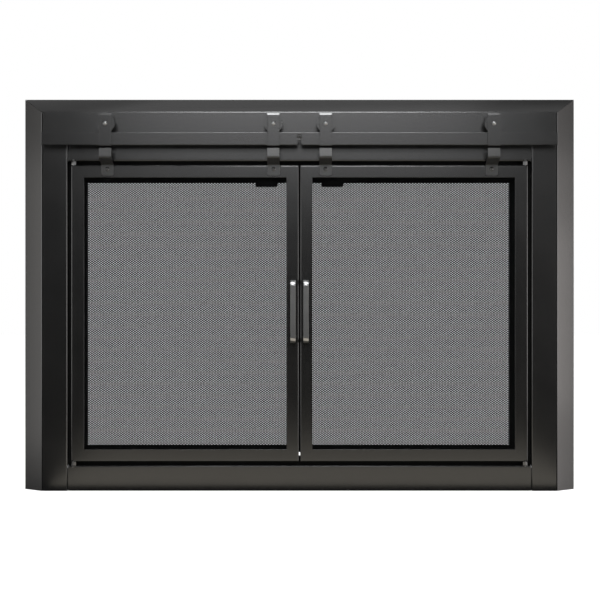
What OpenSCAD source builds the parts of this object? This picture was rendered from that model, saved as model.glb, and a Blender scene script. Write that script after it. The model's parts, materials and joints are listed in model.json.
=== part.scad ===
// Fireplace glass door set with rolling-door hardware.
// A folded and mitred steel surround holds two hinged glass doors.
// Two mesh gates hang behind the doors.
// Millimetres. Z is up, and the front faces -Y.
// The origin is on the hearth, midway along the set, in the plane of the wall.

/* [Overall] */
// Width of the surround at the wall
overall_w = 1156; // [1060:1:1250]
// Height of the surround
overall_h = 820; // [760:1:880]
// Distance from the wall to the front face of the surround
frame_d = 40; // [38:0.5:46]

/* [Surround] */
// Thickness of the folded steel sheet
sheet_t = 2; // [1.5:0.1:2.4]
// Inside radius of the bends in the sheet
bend_r = 1; // [0.6:0.1:1.2]
// Width of the sloped border along each side
bevel_w = 40; // [30:1:50]
// Height of the sloped border along the top
bevel_h = 30; // [22:1:40]
// Width of the flat face of each column
column_w = 54; // [48:1:64]
// Height of the flat face of the header
header_h = 54; // [48:1:60]
// Depth of the plain outer edge between the wall and the slope
edge_d = 6; // [5.5:0.5:9]
// Width of the lip that lies on the wall
wall_lip_w = 15; // [10:1:20]
// How far the surround reaches into the fireplace opening
throat_d = 14; // [12:1:24]
// Width of the shadow groove between the slope and the column face
groove_w = 1.8; // [1:0.1:3]
// Depth of the shadow groove
groove_depth = 1.2; // [0.6:0.1:1.4]
// Gap left open along each mitred corner
mitre_gap = 0.4; // [0.2:0.1:0.8]

/* [Inner frame] */
// Height of the top member below the header
member_h = 48.5; // [44:0.5:54]
// How far the top member's face lies behind the surround's face
member_set_back = 1; // [0.5:0.1:2]
// Gap at each end of the top member
member_end_gap = 3; // [3:0.5:5]
// Height of the bottom rail
bottom_rail_h = 52.5; // [44:0.5:62]
// Gap at each end of the bottom rail
rail_end_gap = 1.5; // [0.5:0.5:3]
// Height of the bottom rail's rear lip
rear_lip_h = 20; // [18:1:26]
// How far the door stops reach into the opening
stop_w = 22; // [19:0.5:22.5]

/* [Doors] */
// Gap between a column and the door beside it
door_gap_side = 7.5; // [7:0.5:9]
// Gap between the top member and the doors
door_gap_top = 8.4; // [7:0.1:10]
// Gap between the bottom rail and the doors
door_gap_bottom = 8.3; // [7:0.1:10]
// Gap between the two doors
door_gap_mid = 3; // [2.5:0.5:5]
// Thickness of a door frame
door_t = 14; // [13:0.5:14]
// How far the door faces lie behind the surround's face
door_set_back = 1; // [0.5:0.1:1.2]
// Width of the door frame's outer stile
stile_outer_w = 27; // [25:0.5:32]
// Width of the door frame's inner stile
stile_inner_w = 25.4; // [24:0.2:30]
// Width of the door frame's top and bottom rails
door_rail_w = 25.5; // [24:0.5:30]
// Rounding of the door frame's front edges
door_edge_r = 2.5; // [1:0.1:3.5]
// Rounding of the front edges around the glass
window_edge_r = 0.6; // [0.4:0.1:1.5]
// Distance of the pivot axis from the door's outer edge
pivot_inset = 5; // [5:0.1:6]
// Diameter of the door pivot pins
pivot_d = 6; // [5:0.5:6]
// Width across the flats of the pivot collars
collar_af = 10; // [8:0.2:10.4]
// Diameter of the round reliefs around the pivot collars
relief_d = 14.4; // [13:0.2:15]

/* [Glass] */
// Thickness of the tempered glass
glass_t = 4; // [3:0.5:4.5]
// Thickness of the gasket tape in front of the glass
gasket_t = 1.5; // [1:0.1:2]
// Depth of the frame in front of the gasket
rebate_wall = 6; // [5.5:0.5:6]
// How far the rebate reaches behind the door frame's inner edge
rebate_w = 9.5; // [8:0.5:10]
// Gap around the glass in its rebate
glass_gap = 1; // [0.5:0.1:1.5]
// Thickness of the glass clips
clip_t = 1.2; // [1:0.1:1.3]
// Width of a glass clip
clip_w = 14; // [12:1:18]

/* [Track rail] */
// Height of the track rail
track_h = 26.5; // [24:0.5:30]
// Thickness of the track rail
track_t = 5; // [4:0.5:6]
// How far the track rail hangs below the header's lower edge
track_drop = 18.5; // [15.5:0.5:19]
// Gap between the header's face and the track rail
track_gap = 30; // [24:1:34]
// Gap between each end of the track rail and the slope's edge
track_end_gap = 4.5; // [0.5:0.5:6]
// Diameter of the hole at the middle of the track rail
track_hole_d = 8.7; // [7:0.1:9]
// Height of the notch in the track rail's lower edge
notch_h = 9.5; // [7:0.5:10]
// Width of the notch at its top
notch_w = 6.2; // [5:0.1:8]
// Width of the notch at the edge
notch_mouth_w = 11.4; // [9:0.1:14]

/* [Hangers] */
// Distance from the middle to the inner hangers
hanger_inner_x = 54; // [50:1:90]
// Distance from each end of the track rail to the hanger beside it
hanger_end = 133; // [117:1:180]
// Width of the hanger straps and door brackets
strap_w = 25.4; // [22:0.2:30]
// Thickness of the hanger straps
strap_t = 3; // [2.5:0.1:4]
// Height of the hanger straps
strap_h = 67.5; // [64:0.5:72]
// Height of the chamfer at the top of a strap
strap_chamfer_h = 4; // [2:0.5:5]
// Depth of the chamfer at the top of a strap
strap_chamfer_t = 1.8; // [1:0.1:2.2]
// How far a strap reaches below the track rail
strap_drop = 2; // [1:0.5:3]
// Gap between the track rail and the straps
strap_gap = 3; // [2.8:0.1:4]
// Diameter of the grooved wheels
wheel_d = 38; // [34:1:42]
// Depth of the groove in a wheel
wheel_groove_depth = 1.8; // [1.4:0.1:2.6]
// Clearance between a wheel and the track rail
wheel_clear = 0.3; // [0.2:0.1:0.6]
// Width of the wheel flange on each side of the groove
wheel_flange_w = 1.7; // [1.4:0.1:2]
// Diameter of the wheel axles
axle_d = 6; // [5:0.5:8]
// Diameter of the domed axle heads
axle_head_d = 9.2; // [8.6:0.1:12]

/* [Door brackets] */
// Gap between a strap and the bracket below it
bracket_gap = 4.5; // [3:0.5:6]
// Thickness of the door brackets
bracket_t = 3; // [2.5:0.1:3.5]
// Height of the upright plate of a bracket
bracket_plate_h = 20; // [17:0.5:22]
// How far the top of a bracket leans back from its bend
bracket_lean = 0.9; // [0:0.1:1.5]
// Height of the slanted part of a bracket
bracket_jog_h = 11; // [10:0.5:14]
// Height of the foot of a bracket
bracket_foot_h = 23; // [21:0.5:23.5]
// Rounding of the foot's lower corners
bracket_corner_r = 5; // [3:0.5:7]
// Height of the bracket screw above the foot's lower edge
bracket_screw_up = 14; // [12:0.5:15]
// Diameter of the bracket screw's head
bracket_screw_head_d = 9; // [8:0.5:11]

/* [Handles] */
// Height of the handles' middle above the hearth
handle_z = 374; // [320:1:430]
// Overall length of a handle
handle_len = 130; // [110:1:160]
// Width of a handle
handle_w = 11; // [9:0.5:13]
// Thickness of a handle's bar
handle_t = 8; // [7:0.5:9]
// How far a handle stands out from the door
handle_out = 30; // [26:1:36]
// Outer radius of a handle's bends
handle_r = 12; // [10:0.5:14]
// Distance of a handle from the middle of the set
handle_x = 13.5; // [11:0.1:13.5]

/* [Mesh gates] */
// Gap between the left column and the left gate
gate_gap_left = 22; // [22:0.5:27]
// Gap between the right column and the right gate
gate_gap_right = 27; // [22:0.5:28]
// Gap between the top member and the gates
gate_gap_top = 28.5; // [26:0.5:30]
// Gap between the bottom rail and the gates
gate_gap_bottom = 26; // [25:0.5:29]
// Gap between the two gates
gate_gap_mid = 2.4; // [2:0.2:3]
// Distance from the middle of the set to the line where the gates meet
gate_meet_x = 4; // [3.2:0.2:5]
// Width of a gate's frame bars
gate_bar_w = 15.5; // [14:0.5:18]
// Thickness of a gate's frame bars
gate_bar_t = 6; // [4:0.5:6]
// Distance of the gates' middle plane from the wall
gate_mid_d = 11; // [10.5:0.5:11]
// Diameter of the gate pivot pins
gate_pin_d = 5; // [4:0.5:6]
// Number of mesh rhombs across a gate
mesh_columns = 7; // [4:1:7]
// Number of mesh rhombs up a gate
mesh_rows = 10; // [6:1:10]
// Width of a mesh strand
mesh_strand_w = 3; // [2:0.5:5]
// Thickness of the mesh
mesh_t = 1.2; // [0.8:0.1:2]
// Width of a gate's finger tab
tab_w = 46.4; // [36:0.2:54]
// Distance from the middle of the set to the middle of a tab
tab_x = 69; // [56:0.5:90]
// How far a tab hangs below its gate bar
tab_drop = 8.5; // [7:0.5:11]

/* [Catches] */
// Distance of the door catches from the middle of the set
catch_x = 30; // [28:0.5:34]
// Diameter of the catch magnets
magnet_d = 12; // [10:0.5:13]

/* [Fixing to the fireplace] */
// Distance between the two floor anchors
anchor_spacing = 700; // [500:1:820]
// Diameter of the holes for the floor anchors
anchor_hole_d = 7; // [6:0.5:9]
// Distance of the floor anchors behind the wall plane
anchor_y = 34; // [34:1:40]
// Distance between the two lintel clamps
clamp_spacing = 500; // [400:1:600]
// How far the lintel clamps reach behind the wall plane
clamp_reach = 60; // [50:1:80]
// Height of the clamp pads above the header's lower edge
clamp_rise = 39; // [34:1:46]

/* [Hidden] */
$fn = 64;

black = [0.17, 0.17, 0.17];
dark = [0.1, 0.1, 0.1];
steel = [0.62, 0.62, 0.62];
clear_glass = [0.75, 0.82, 0.85, 0.35];
tape = [0.3, 0.3, 0.28];

// Radial clearance of a pin that turns in its hole
run_gap = 0.06;
// Radial clearance of a screw in a plain hole
screw_gap = 0.3;
// Clearance between faces of pieces that move past each other
face_gap = 0.3;
// Overcut of a hole past the faces it goes through
cut = 1;
// Flat steps in each bend of the sheet
bend_steps = 5;

// Surround
half_w = overall_w / 2;
slope_x = half_w - bevel_w;
open_x = slope_x - column_w;
slope_z = overall_h - bevel_h;
open_z = slope_z - header_h;

// Inner frame
member_z = open_z - member_h;
member_y = -frame_d + member_set_back;
flange_y = -3;
stop_t = 2;
stop_y = -19;
stop_front_y = stop_y - stop_t;
stop_top_more = 8;
stop_bottom_less = 2.5;
stop_top_z = member_z - stop_w - stop_top_more;
stop_bottom_z = bottom_rail_h + stop_w - stop_bottom_less;

// Doors, written for the right-hand door
door_x0 = door_gap_mid / 2;
door_x1 = open_x - door_gap_side;
door_z0 = bottom_rail_h + door_gap_bottom;
door_z1 = member_z - door_gap_top;
door_front_y = -frame_d + door_set_back;
door_back_y = door_front_y + door_t;
win_x0 = door_x0 + stile_inner_w;
win_x1 = door_x1 - stile_outer_w;
win_z0 = door_z0 + door_rail_w;
win_z1 = door_z1 - door_rail_w;
pivot_x = door_x1 - pivot_inset;
pivot_y = door_front_y + door_t / 2;
pivot_r = pivot_d / 2;
pivot_bite = 14;
relief_r = relief_d / 2;
relief_top_z = (door_z1 + member_z) / 2;
relief_bottom_z = (door_z0 + bottom_rail_h) / 2;
rebate_y = door_front_y + rebate_wall;
glass_y = rebate_y + gasket_t;
glass_back_y = glass_y + glass_t;

// Track rail and hangers
track_z0 = open_z - track_drop;
track_z1 = track_z0 + track_h;
track_back_y = -frame_d - track_gap;
track_front_y = track_back_y - track_t;
track_x = slope_x - track_end_gap;
track_hole_z = track_z1 - 9.6;
standoff_r = 6.5;
standoff_z = track_z0 + standoff_r + 0.8;
standoff_xs = [-0.94, -0.52, -0.23, 0.23, 0.52, 0.94] * open_x;
hanger_outer_x = track_x - hanger_end;
hanger_xs = [-hanger_outer_x, -hanger_inner_x, hanger_inner_x, hanger_outer_x];
strap_back_y = track_front_y - strap_gap;
strap_front_y = strap_back_y - strap_t;
strap_z0 = track_z0 - strap_drop;
strap_screw_z = track_z0 + track_h / 2;
strap_spacer_r = 6;
strap_screw_r = 2.5;
wheel_r = wheel_d / 2;
wheel_floor_r = wheel_r - wheel_groove_depth;
wheel_z = track_z1 + wheel_clear + wheel_floor_r;
wheel_y = track_back_y - track_t / 2;
wheel_groove_w = track_t + 2 * wheel_clear;
wheel_w = wheel_groove_w + 2 * wheel_flange_w;
axle_r = axle_d / 2;

// Door brackets
bracket_z1 = strap_z0 - bracket_gap;
bend_z1 = bracket_z1 - bracket_plate_h;
bend_z0 = bend_z1 - bracket_jog_h;
bracket_z0 = bend_z0 - bracket_foot_h;
bracket_screw_z = bracket_z0 + bracket_screw_up;
bracket_screw_r = 2.5;
foot_front_y = door_front_y - bracket_t;

// Handles
handle_front_y = door_front_y - handle_out;
handle_screw_r = 2;
handle_leg_dz = handle_len / 2 - handle_t / 2;

// Gates, both with their measures as on the +X side
gate_left_x0 = gate_gap_mid / 2 - gate_meet_x;
gate_left_x1 = open_x - gate_gap_left;
gate_right_x0 = gate_gap_mid / 2 + gate_meet_x;
gate_right_x1 = open_x - gate_gap_right;
gate_pin_inset = 6;
gate_pin_xs = [gate_pin_inset - gate_left_x1, gate_right_x1 - gate_pin_inset];
gate_z0 = bottom_rail_h + gate_gap_bottom;
gate_z1 = member_z - gate_gap_top;
gate_y0 = -gate_mid_d - gate_bar_t / 2;
gate_y1 = gate_y0 + gate_bar_t;
gate_pin_r = gate_pin_d / 2;
gate_shoulder_r = gate_pin_r + 2;
mesh_bite = 8;
tab_t = 1.5;
tab_lap = 10;

// Fixings
fix_r = 2.5;
fix_head_r = 4.5;
fix_head_h = 3;
bracket_plate_t = 3;
anchor_tab_w = 30;
clamp_bar_w = 25;
clamp_bar_t = 3;
clamp_screw_r = 4;
clamp_screw_y = clamp_reach - 10;
member_screw_xs = [-0.87, -0.29, 0.29, 0.87] * open_x;
member_screw_y = -20;
end_screw_ys = [-27, -12];
end_screw_zs = [bottom_rail_h * 0.45, (member_z + open_z) / 2];

// Helpers

// Unit vector along v
function unit(v) = v / norm(v);
// Left-hand normal of v
function left(v) = [-v[1], v[0]];
// Point i of path p moved sideways by t, so that the path keeps one thickness
function shifted(p, i, t) =
  let (n = len(p) - 1)
  let (a = i == 0 ? left(unit(p[1] - p[0])) : left(unit(p[i] - p[i - 1])))
  let (b = i == n ? a : left(unit(p[i + 1] - p[i])))
  let (m = unit(a + b))
  p[i] + m * t / (m * b);

// Vector v turned by an angle
function turned(v, angle) =
  [v[0] * cos(angle) - v[1] * sin(angle), v[0] * sin(angle) + v[1] * cos(angle)];
// Direction of path p after point i
function heading(p, i) = unit(p[i + 1] - p[i]);
// Side to which path p turns at point i, as 1 for left and -1 for right
function side_at(p, i) = sign(cross(heading(p, i - 1), heading(p, i)));
// Points of an arc of radius r that rounds corner i of path p moved sideways by m
function corner(p, i, m, r) =
  let (a = heading(p, i - 1))
  let (side = side_at(p, i))
  let (angle = acos(a * heading(p, i)))
  let (start = shifted(p, i, m) - a * r * tan(angle / 2))
  let (centre = start + left(a) * side * r)
  [for (k = [0:bend_steps]) centre + turned(start - centre, side * angle * k / bend_steps)];
// One face of a sheet of thickness t along path p, where the face lies m from the path
function sheet_face(p, m, t) = [
  shifted(p, 0, m),
  for (i = [1:len(p) - 2])
    each corner(p, i, m, (side_at(p, i) * t > 0) == (m == 0) ? bend_r + abs(t) : bend_r),
  shifted(p, len(p) - 1, m)
];

// Section of a sheet with rounded bends, between a path and the same path moved by t
module folded(p, t) {
  far = sheet_face(p, t, t);
  polygon(concat(sheet_face(p, 0, t), [for (i = [len(far) - 1:-1:0]) far[i]]));
}

// Extrudes a YZ section along X, from x0 to x1
module along_x(x0, x1) {
  translate([x0, 0, 0]) rotate([90, 0, 90]) linear_extrude(x1 - x0) children();
}

// Extrudes an XZ outline along Y, from y0 to y1
module along_y(y0, y1) {
  translate([0, y1, 0]) rotate([90, 0, 0]) linear_extrude(y1 - y0) children();
}

// Extrudes an XY section along Z, from z0 to z1
module along_z(z0, z1) {
  translate([0, 0, z0]) linear_extrude(z1 - z0) children();
}

// Box between two corners
module block(a, b) {
  translate(a) cube(b - a);
}

// Cylinder along Y between y0 and y1
module rod_y(x, z, r, y0, y1) {
  translate([x, y1, z]) rotate([90, 0, 0]) cylinder(r = r, h = y1 - y0);
}

// Cylinder along Z between z0 and z1
module rod_z(x, y, r, z0, z1) {
  translate([x, y, z0]) cylinder(r = r, h = z1 - z0);
}

// Cylinder along X between x0 and x1
module rod_x(y, z, r, x0, x1) {
  translate([x0, y, z]) rotate([0, 90, 0]) cylinder(r = r, h = x1 - x0);
}

// Domed head with its flat face at z = 0
module dome(r, h) {
  ball_r = (r * r + h * h) / (2 * h);
  intersection() {
    translate([0, 0, h - ball_r]) sphere(r = ball_r);
    cylinder(r = r, h = h);
  }
}

// Screw whose head faces -Y: shank from y_head back to y_tip
module screw_y(x, z, r, head_r, head_h, y_head, y_tip) {
  difference() {
    union() {
      rod_y(x, z, r, y_head - 0.01, y_tip);
      translate([x, y_head, z]) rotate([90, 0, 0]) dome(head_r, head_h);
    }
    cross_recess(x, y_head - head_h, z, head_r * 0.55);
  }
}

// Cross recess in the front of a screw head
module cross_recess(x, y, z, half) {
  for (turn = [0, 90])
    translate([x, y, z]) rotate([0, turn, 0]) cube([half * 2, 2.4, 0.9], center = true);
}

// Points of a quarter turn about c, from the angle start, by six steps of step degrees
function quarter(c, r, start, step = 15) =
  [for (i = [0:6]) c + r * [cos(start + step * i), sin(start + step * i)]];

// Section of a bar whose two front corners are rounded, front at y = y0
module bar_section(a0, a1, y0, y1, r) {
  polygon(concat(
    [[a0, y1]],
    quarter([a0 + r, y0 + r], r, 180),
    quarter([a1 - r, y0 + r], r, 270),
    [[a1, y1]]
  ));
}

// Section of an opening whose front edges are rounded, front at y = y0
module window_section(a0, a1, y0, y1, r) {
  polygon(concat(
    [[a0, y1 + 1]],
    quarter([a0 - r, y0 + r], r, 0, -15),
    [[a0 - r, y0 - 1], [a1 + r, y0 - 1]],
    quarter([a1 + r, y0 + r], r, 270, -15),
    [[a1, y1 + 1]]
  ));
}

// Slab with rounded front edges on all four sides
module slab(x0, x1, z0, z1, y0, y1, r) {
  intersection() {
    along_z(z0, z1) bar_section(x0, x1, y0, y1, r);
    along_x(x0, x1) mirror_section() bar_section(z0, z1, y0, y1, r);
  }
}

// Opening through a slab, with rounded front edges
module slab_window(x0, x1, z0, z1, y0, y1, r) {
  intersection() {
    along_z(z0 - r, z1 + r) window_section(x0, x1, y0, y1, r);
    along_x(x0 - r, x1 + r) mirror_section() window_section(z0, z1, y0, y1, r);
  }
}

// Swaps the two axes of a section
module mirror_section() {
  mirror([1, -1, 0]) children();
}

// Surround

// Path of a column's section, from the wall lip round to the throat
column_path = [
  [half_w - wall_lip_w, 0],
  [half_w, 0],
  [half_w, -edge_d],
  [slope_x, -frame_d],
  [open_x, -frame_d],
  [open_x, throat_d]
];

// Path of the header's section, as points of Y and Z
header_path = [
  [0, overall_h - wall_lip_w],
  [0, overall_h],
  [-edge_d, overall_h],
  [-frame_d, slope_z],
  [-frame_d, open_z],
  [throat_d, open_z]
];

// Distance of the shadow groove from the edge of the slope
groove_in = 0.8;

// One column, on the +X side
module column() {
  difference() {
    intersection() {
      along_z(0, overall_h) folded(column_path, -sheet_t);
      along_y(-frame_d - cut, throat_d + cut) column_outline();
    }
    block([slope_x - groove_w - groove_in, -frame_d - cut, -cut],
          [slope_x - groove_in, -frame_d + groove_depth, overall_h]);
    for (z = end_screw_zs) for (y = end_screw_ys)
      rod_x(y, z, fix_r + screw_gap, open_x - cut, open_x + sheet_t + cut);
  }
}

// Front outline of a column, cut along the mitre
module column_outline() {
  polygon([
    [open_x - cut, 0],
    [half_w + cut, 0],
    [half_w + cut, overall_h - mitre_gap + cut * bevel_h / bevel_w],
    [slope_x, slope_z - mitre_gap],
    [open_x, open_z - mitre_gap],
    [open_x - cut, open_z - mitre_gap]
  ]);
}

// Front outline of the header, cut along both mitres
module header_outline() {
  rise = cut * bevel_w / bevel_h;
  polygon([
    [-half_w - rise, overall_h + cut],
    [-slope_x, slope_z],
    [-open_x, open_z],
    [-open_x, open_z - cut],
    [open_x, open_z - cut],
    [open_x, open_z],
    [slope_x, slope_z],
    [half_w + rise, overall_h + cut]
  ]);
}

module surround_top() {
  color(black) difference() {
    intersection() {
      along_x(-half_w, half_w) folded(header_path, sheet_t);
      along_y(-frame_d - cut, throat_d + cut) header_outline();
    }
    for (x = member_screw_xs)
      rod_z(x, member_screw_y, fix_r + screw_gap, open_z - cut, open_z + sheet_t + cut);
    for (side = [-1, 1])
      rod_z(side * clamp_spacing / 2, throat_d / 2, fix_r + screw_gap,
            open_z - cut, open_z + sheet_t + cut);
  }
}

module surround_left() {
  color(black) mirror([1, 0, 0]) column();
}

module surround_right() {
  color(black) column();
}

// Flat angle behind each mitre, welded to the column and the header
module corner_plates() {
  leg = 30;
  reach = 110;
  inner = 12;
  color(dark) for (side = [0, 1]) mirror([side, 0, 0])
    along_y(-frame_d + sheet_t, -frame_d + sheet_t + bracket_plate_t) union() {
      translate([open_x + inner, open_z + inner - reach + leg]) square([leg, reach]);
      translate([open_x + inner + leg - reach, open_z + inner]) square([reach, leg]);
    }
}

// Inner frame

// Channel under the header that carries the upper pivots
module top_member() {
  x = open_x - member_end_gap;
  color(black) difference() {
    along_x(-x, x) folded([
      [flange_y, open_z],
      [member_y, open_z],
      [member_y, member_z],
      [flange_y, member_z]
    ], sheet_t);
    for (sx = member_screw_xs)
      rod_z(sx, member_screw_y, fix_r + screw_gap, open_z - sheet_t - cut, open_z + cut);
    for (sx = standoff_xs)
      rod_y(sx, standoff_z, fix_r + screw_gap, member_y - cut, member_y + sheet_t + cut);
    for (side = [-1, 1]) {
      rod_z(side * pivot_x, pivot_y, pivot_r + 0.1, member_z - cut, member_z + sheet_t + cut);
      rod_y(side * pivot_x, relief_top_z, relief_r, member_y - cut, member_y + sheet_t + 0.4);
    }
    for (gx = gate_pin_xs)
      rod_z(gx, -gate_mid_d, gate_pin_r + run_gap, member_z - cut, member_z + sheet_t + cut);
  }
}

// Channel between the columns that stands on the hearth
module bottom_rail() {
  x = open_x - rail_end_gap;
  color(black) difference() {
    along_x(-x, x) folded([
      [flange_y, bottom_rail_h],
      [-frame_d, bottom_rail_h],
      [-frame_d, 0],
      [throat_d, 0],
      [throat_d, rear_lip_h]
    ], sheet_t);
    for (side = [-1, 1]) {
      rod_z(side * pivot_x, pivot_y, pivot_r + 0.1,
            bottom_rail_h - sheet_t - cut, bottom_rail_h + cut);
      rod_y(side * pivot_x, relief_bottom_z, relief_r, -frame_d - cut, -frame_d + sheet_t + 0.4);
      for (dx = [-8, 8])
        rod_y(side * anchor_spacing / 2 + dx, rear_lip_h * 0.6, fix_r + screw_gap,
              throat_d - sheet_t - cut, throat_d + cut);
    }
    for (gx = gate_pin_xs)
      rod_z(gx, -gate_mid_d, gate_pin_r + run_gap,
            bottom_rail_h - sheet_t - cut, bottom_rail_h + cut);
  }
}

// Angles inside the ends of the bottom rail and of the top member
module rail_end_brackets() {
  long = 44;
  y0 = -frame_d + sheet_t + 3;
  y1 = -5;
  leg_z = open_z - sheet_t;
  color(dark) for (side = [0, 1]) mirror([side, 0, 0]) difference() {
    union() {
      block([open_x - bracket_plate_t, y0, sheet_t], [open_x, y1, bottom_rail_h - sheet_t - 4]);
      block([open_x - long, y0, sheet_t], [open_x, y1, sheet_t + bracket_plate_t]);
      block([open_x - bracket_plate_t, y0, member_z], [open_x, y1, open_z]);
      block([open_x - long, y0, leg_z - bracket_plate_t], [open_x, y1, leg_z]);
    }
    for (z = end_screw_zs) for (y = end_screw_ys)
      rod_x(y, z, fix_r, open_x - bracket_plate_t - cut, open_x + cut);
  }
}

// Screws of the top member and of the end angles
module frame_screws() {
  color(steel) {
    for (x = member_screw_xs) {
      rod_z(x, member_screw_y, fix_r, open_z - sheet_t - 0.01, open_z + sheet_t + 4);
      translate([x, member_screw_y, open_z - sheet_t]) rotate([180, 0, 0])
        dome(fix_head_r, fix_head_h);
    }
    for (side = [0, 1]) mirror([side, 0, 0])
      for (z = end_screw_zs) for (y = end_screw_ys) {
        rod_x(y, z, fix_r, open_x - bracket_plate_t - 2, open_x + sheet_t + 0.01);
        translate([open_x + sheet_t, y, z]) rotate([0, 90, 0]) dome(fix_head_r, fix_head_h);
      }
  }
}

// Stop angle beside a door, on the +X side
module side_stop() {
  along_z(stop_bottom_z + face_gap, stop_top_z - face_gap) polygon([
    [open_x, flange_y],
    [open_x, stop_front_y],
    [open_x - stop_w, stop_front_y],
    [open_x - stop_w, stop_y],
    [open_x - stop_t, stop_y],
    [open_x - stop_t, flange_y]
  ]);
}

module stop_left() {
  color(dark) mirror([1, 0, 0]) side_stop();
}

module stop_right() {
  color(dark) side_stop();
}

// Stop angle under the top member
module stop_top() {
  color(dark) difference() {
    along_x(-open_x, open_x) polygon([
      [flange_y, member_z],
      [stop_front_y, member_z],
      [stop_front_y, stop_top_z],
      [stop_y, stop_top_z],
      [stop_y, member_z - stop_t],
      [flange_y, member_z - stop_t]
    ]);
    for (gx = gate_pin_xs)
      rod_z(gx, -gate_mid_d, gate_pin_r + 1, member_z - stop_t - cut, member_z + cut);
  }
}

// Stop angle on the bottom rail
module stop_bottom() {
  color(dark) difference() {
    along_x(-open_x, open_x) polygon([
      [flange_y, bottom_rail_h],
      [stop_front_y, bottom_rail_h],
      [stop_front_y, stop_bottom_z],
      [stop_y, stop_bottom_z],
      [stop_y, bottom_rail_h + stop_t],
      [flange_y, bottom_rail_h + stop_t]
    ]);
    for (gx = gate_pin_xs)
      rod_z(gx, -gate_mid_d, gate_pin_r + 1, bottom_rail_h - cut, bottom_rail_h + stop_t + cut);
  }
}

// Track rail

module track_rail() {
  color(black) difference() {
    block([-track_x, track_front_y, track_z0], [track_x, track_back_y, track_z1]);
    rod_y(0, track_hole_z, track_hole_d / 2, track_front_y - cut, track_back_y + cut);
    along_y(track_front_y - cut, track_back_y + cut) polygon([
      [-notch_mouth_w / 2, track_z0 - 0.01],
      [-notch_w / 2, track_z0 + 2.5],
      [-notch_w / 2, track_z0 + notch_h],
      [notch_w / 2, track_z0 + notch_h],
      [notch_w / 2, track_z0 + 2.5],
      [notch_mouth_w / 2, track_z0 - 0.01]
    ]);
    for (x = standoff_xs)
      rod_y(x, standoff_z, fix_r, track_back_y - track_t * 0.7, track_back_y + cut);
    for (x = hanger_xs)
      rod_y(x, strap_screw_z, strap_screw_r + screw_gap, track_front_y - cut, track_back_y + cut);
  }
}

// Round spacers between the top member and the track rail
module rail_standoffs() {
  color(black) for (x = standoff_xs) difference() {
    rod_y(x, standoff_z, standoff_r, track_back_y, member_y);
    rod_y(x, standoff_z, fix_r + screw_gap, track_back_y - cut, member_y + cut);
  }
}

// Screws that hold the track rail, put in from inside the top member
module rail_screws() {
  color(steel) for (x = standoff_xs) {
    rod_y(x, standoff_z, fix_r, track_back_y - track_t * 0.6, member_y + sheet_t + 0.01);
    translate([x, member_y + sheet_t, standoff_z]) rotate([-90, 0, 0])
      dome(fix_head_r, fix_head_h);
  }
}

// Hangers

module hanger_straps() {
  r = 1.2;
  color(black) for (x = hanger_xs) difference() {
    slab(x - strap_w / 2, x + strap_w / 2, strap_z0, strap_z0 + strap_h,
         strap_front_y, strap_back_y, r);
    along_x(x - strap_w / 2 - cut, x + strap_w / 2 + cut) strap_chamfer();
    rod_y(x, wheel_z, axle_r + 0.05, strap_front_y - cut, strap_back_y + cut);
    rod_y(x, strap_screw_z, strap_screw_r, strap_back_y - strap_t * 0.7, strap_back_y + cut);
  }
}

// Wedge that is cut off the top of a strap, as a section in Y and Z
module strap_chamfer() {
  z1 = strap_z0 + strap_h;
  slope = strap_chamfer_t / strap_chamfer_h;
  polygon([
    [strap_front_y - slope * cut, z1 - strap_chamfer_h - cut],
    [strap_front_y + strap_chamfer_t + slope * cut, z1 + cut],
    [strap_front_y - cut, z1 + cut],
    [strap_front_y - cut, z1 - strap_chamfer_h - cut]
  ]);
}

// Spacers that hold the straps in front of the track rail
module strap_spacers() {
  color(dark) for (x = hanger_xs) difference() {
    rod_y(x, strap_screw_z, strap_spacer_r, strap_back_y, track_front_y);
    rod_y(x, strap_screw_z, strap_screw_r + screw_gap, strap_back_y - cut, track_front_y + cut);
  }
}

// Screws from behind the track rail into the straps
module strap_screws() {
  color(steel) for (x = hanger_xs) {
    rod_y(x, strap_screw_z, strap_screw_r, strap_back_y - strap_t * 0.6, track_back_y + 0.01);
    translate([x, track_back_y, strap_screw_z]) rotate([-90, 0, 0]) dome(4.2, 2.4);
  }
}

// Axle bolts of the wheels, with domed heads on the straps
module axle_bolts() {
  color(dark) for (x = hanger_xs) {
    rod_y(x, wheel_z, axle_r, strap_front_y - 0.01, axle_end_y);
    translate([x, strap_front_y, wheel_z]) rotate([90, 0, 0]) dome(axle_head_d / 2, 3.2);
  }
}

axle_nut_t = 2.5;
axle_nut_y = wheel_y + wheel_w / 2 + face_gap;
axle_end_y = axle_nut_y + axle_nut_t + 0.5;

// Thin lock nuts behind the wheels
module axle_nuts() {
  color(steel) for (x = hanger_xs) translate([x, axle_nut_y + axle_nut_t, wheel_z])
    rotate([90, 0, 0]) difference() {
      cylinder(r = axle_r + 2.6, h = axle_nut_t, $fn = 6);
      translate([0, 0, -cut]) cylinder(r = axle_r, h = axle_nut_t + 2 * cut);
    }
}

// Grooved wheel that stands on the track rail
module wheel(x) {
  w = wheel_w / 2;
  g = wheel_groove_w / 2;
  rim = 5;
  dish = 1;
  hub_r = axle_r + 3;
  color(dark) translate([x, wheel_y, wheel_z]) rotate([90, 0, 0]) rotate_extrude() polygon([
    [axle_r + run_gap, -w],
    [hub_r, -w],
    [hub_r, -w + dish],
    [wheel_r - rim, -w + dish],
    [wheel_r - rim, -w],
    [wheel_r - 0.4, -w],
    [wheel_r, -w + 0.4],
    [wheel_r, -g],
    [wheel_floor_r, -g],
    [wheel_floor_r, g],
    [wheel_r, g],
    [wheel_r, w - 0.4],
    [wheel_r - 0.4, w],
    [wheel_r - rim, w],
    [wheel_r - rim, w - dish],
    [hub_r, w - dish],
    [hub_r, w],
    [axle_r + run_gap, w]
  ]);
}

module wheel_1() {
  wheel(hanger_xs[0]);
}

module wheel_2() {
  wheel(hanger_xs[1]);
}

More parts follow.
